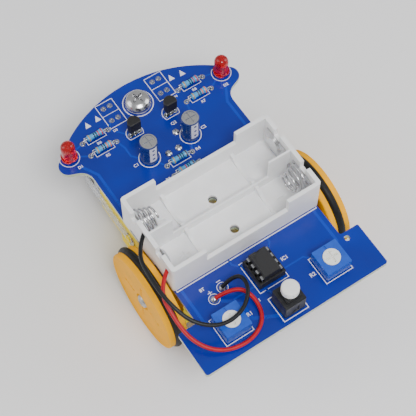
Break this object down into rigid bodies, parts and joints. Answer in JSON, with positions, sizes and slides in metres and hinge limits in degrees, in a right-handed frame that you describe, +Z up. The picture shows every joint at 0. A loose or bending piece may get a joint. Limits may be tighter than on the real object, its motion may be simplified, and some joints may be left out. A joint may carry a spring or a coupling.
{
  "type": "two wheel robot car",
  "caption": "Small two-wheel line-following robot car: circuit-board chassis, geared motors, ring-tyred wheels, ball-nosed front support, cell holder and trimmers.",
  "frame": {"origin": "centre of the bounding box in plan, at floor level, where the two tyres and the front cap nut touch the floor", "axes": "+X forward (the front support end), +Y the car's left, +Z up"},
  "size_m": [0.1054, 0.0738, 0.0487],
  "materials": {
    "board_blue": "glossy blue solder resist over glass-fibre board, pale edge",
    "bolt_nickel": "nickel plated",
    "button_white": "satin",
    "can_steel": "plated",
    "cap_nut_nickel": "bright nickel plated",
    "capacitor_sleeve": "shrunk sleeve with a bare metal top",
    "chip_black": "fine matt",
    "contact_plate": "nickel plated",
    "end_cap_black": "matt",
    "gear_white": "satin nylon",
    "gearbox_yellow": "satin moulded",
    "holder_white": "satin",
    "lead_black": "soft vinyl",
    "lead_red": "soft vinyl",
    "led_clear": "water-clear epoxy",
    "led_red": "clear-tinted epoxy",
    "magnet_grey": "sintered ferrite",
    "nut_nickel": "nickel plated",
    "pad_foam": "closed-cell foam tape",
    "pin_steel": "ground",
    "resistor_blue": "lacquered",
    "rotor_steel": "laminated",
    "rotor_white": "satin",
    "screw_steel": "zinc plated",
    "sensor_ceramic": "glazed with a zigzag track",
    "shaft_white": "milky",
    "socket_black": "matt",
    "solder": "bright tin",
    "spring_steel": "nickel plated wire",
    "strap_clear": "clear plastic band",
    "switch_black": "satin",
    "terminal_brass": "copper alloy",
    "tinned_wire": "tinned",
    "transistor_black": "matt",
    "trimmer_blue": "satin",
    "tyre_black": "rubber ring",
    "wheel_orange": "satin moulded"
  },
  "bodies": {
    "chassis": {"battery_contacts": "contact_plate", "battery_holder": "holder_white", "battery_lead_black": "lead_black", "battery_lead_red": "lead_red", "battery_springs": "spring_steel", "capacitors": "capacitor_sleeve", "caster_bolt": "bolt_nickel", "caster_cap_nut": "cap_nut_nickel", "caster_nut": "nut_nickel", "chip": "chip_black", "chip_socket": "socket_black", "circuit_board": "board_blue", "component_pins": "tinned_wire", "foam_pads": "pad_foam", "gear_pins": "pin_steel", "gearbox_screws": "screw_steel", "holder_pad": "pad_foam", "indicator_leds": "led_red", "left_gearbox_inner": "gearbox_yellow", "left_gearbox_outer": "gearbox_yellow", "left_motor_can": "can_steel", "left_motor_end_cap": "end_cap_black", "left_motor_lead_black": "lead_black", "left_motor_lead_red": "lead_red", "left_motor_strap": "strap_clear", "light_sensors": "sensor_ceramic", "motor_magnets": "magnet_grey", "motor_terminals": "terminal_brass", "resistor_leads": "tinned_wire", "resistors": "resistor_blue", "right_gearbox_inner": "gearbox_yellow", "right_gearbox_outer": "gearbox_yellow", "right_motor_can": "can_steel", "right_motor_end_cap": "end_cap_black", "right_motor_lead_black": "lead_black", "right_motor_lead_red": "lead_red", "right_motor_strap": "strap_clear", "sensor_leds": "led_clear", "solder_joints": "solder", "switch_body": "switch_black", "transistors": "transistor_black", "trimmer_housings": "trimmer_blue"},
    "left_rotor": {"left_motor_rotor": "rotor_steel"},
    "left_crown": {"left_crown_gear": "gear_white"},
    "left_middle": {"left_middle_gear": "gear_white"},
    "left_wheel": {"left_output_shaft": "shaft_white", "left_wheel": "wheel_orange", "left_tyre": "tyre_black", "left_wheel_screw": "screw_steel"},
    "right_rotor": {"right_motor_rotor": "rotor_steel"},
    "right_crown": {"right_crown_gear": "gear_white"},
    "right_middle": {"right_middle_gear": "gear_white"},
    "right_wheel": {"right_output_shaft": "shaft_white", "right_wheel": "wheel_orange", "right_tyre": "tyre_black", "right_wheel_screw": "screw_steel"},
    "left_trimmer": {"trimmer_rotor_left": "rotor_white"},
    "right_trimmer": {"trimmer_rotor_right": "rotor_white"},
    "button": {"switch_button": "button_white"}
  },
  "joints": [
    {"name": "left_motor_spin", "type": "hinge", "parent": "chassis", "child": "left_rotor", "pos_m": [0.02225, 0.0176, 0.019], "axis": [1, 0, 0], "continuous": true},
    {"name": "left_crown_spin", "type": "hinge", "parent": "chassis", "child": "left_crown", "pos_m": [0.00325, 0.0176, 0.019], "axis": [0, 1, 0], "continuous": true},
    {"name": "left_middle_spin", "type": "hinge", "parent": "chassis", "child": "left_middle", "pos_m": [-0.00462, 0.0176, 0.019], "axis": [0, 1, 0], "continuous": true},
    {"name": "left_wheel_spin", "type": "hinge", "parent": "chassis", "child": "left_wheel", "pos_m": [-0.01475, 0.0176, 0.019], "axis": [0, 1, 0], "continuous": true},
    {"name": "right_motor_spin", "type": "hinge", "parent": "chassis", "child": "right_rotor", "pos_m": [0.02225, -0.0176, 0.019], "axis": [1, 0, 0], "continuous": true},
    {"name": "right_crown_spin", "type": "hinge", "parent": "chassis", "child": "right_crown", "pos_m": [0.00325, -0.0176, 0.019], "axis": [0, 1, 0], "continuous": true},
    {"name": "right_middle_spin", "type": "hinge", "parent": "chassis", "child": "right_middle", "pos_m": [-0.00462, -0.0176, 0.019], "axis": [0, 1, 0], "continuous": true},
    {"name": "right_wheel_spin", "type": "hinge", "parent": "chassis", "child": "right_wheel", "pos_m": [-0.01475, -0.0176, 0.019], "axis": [0, 1, 0], "continuous": true},
    {"name": "left_trimmer_turn", "type": "hinge", "parent": "chassis", "child": "left_trimmer", "pos_m": [-0.04275, 0.0195, 0.037], "axis": [0, 0, 1], "range_deg": [-105, 105]},
    {"name": "right_trimmer_turn", "type": "hinge", "parent": "chassis", "child": "right_trimmer", "pos_m": [-0.04275, -0.0195, 0.037], "axis": [0, 0, 1], "range_deg": [-105, 105]},
    {"name": "button_press", "type": "slide", "parent": "chassis", "child": "button", "axis": [0, 0, -1], "range_m": [0, 0.0018], "stiffness_N_per_m": 400, "springref_m": -0.0008}
  ],
  "couplings": [
    {"joint": "left_crown_spin", "follows": "left_motor_spin", "ratio": 0.33333},
    {"joint": "left_middle_spin", "follows": "left_motor_spin", "ratio": -0.083333},
    {"joint": "left_wheel_spin", "follows": "left_motor_spin", "ratio": 0.020833},
    {"joint": "right_crown_spin", "follows": "right_motor_spin", "ratio": -0.33333},
    {"joint": "right_middle_spin", "follows": "right_motor_spin", "ratio": 0.083333},
    {"joint": "right_wheel_spin", "follows": "right_motor_spin", "ratio": -0.020833}
  ]
}
